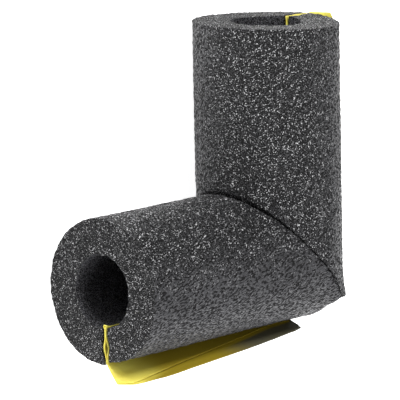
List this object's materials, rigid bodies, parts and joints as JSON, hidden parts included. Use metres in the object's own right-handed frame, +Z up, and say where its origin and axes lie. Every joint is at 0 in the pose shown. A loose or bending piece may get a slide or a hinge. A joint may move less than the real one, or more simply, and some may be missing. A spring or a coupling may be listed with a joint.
{
  "type": "pipe insulation elbow",
  "caption": "Split foam elbow that wraps a right-angle bend in a pipe, mitred at the corner, with folded release film in its slits.",
  "frame": {"origin": "on the floor, under the middle of the elbow's box as it lies on its side; the crossing of the two bores is at x 0.02599, y -0.02623, z 0.0254", "axes": "+Z up, square to the plane of the bend; one run opens towards +Y and the other towards -X"},
  "size_m": [0.1152, 0.1144, 0.0508],
  "materials": {
    "foam": "charcoal closed-cell foam with a fine pebbled skin",
    "liner": "yellow release film, slightly translucent"
  },
  "bodies": {
    "root": {"upper_leg": "foam", "lower_leg": "foam", "upper_liner": "liner", "lower_liner": "liner"}
  },
  "joints": []
}
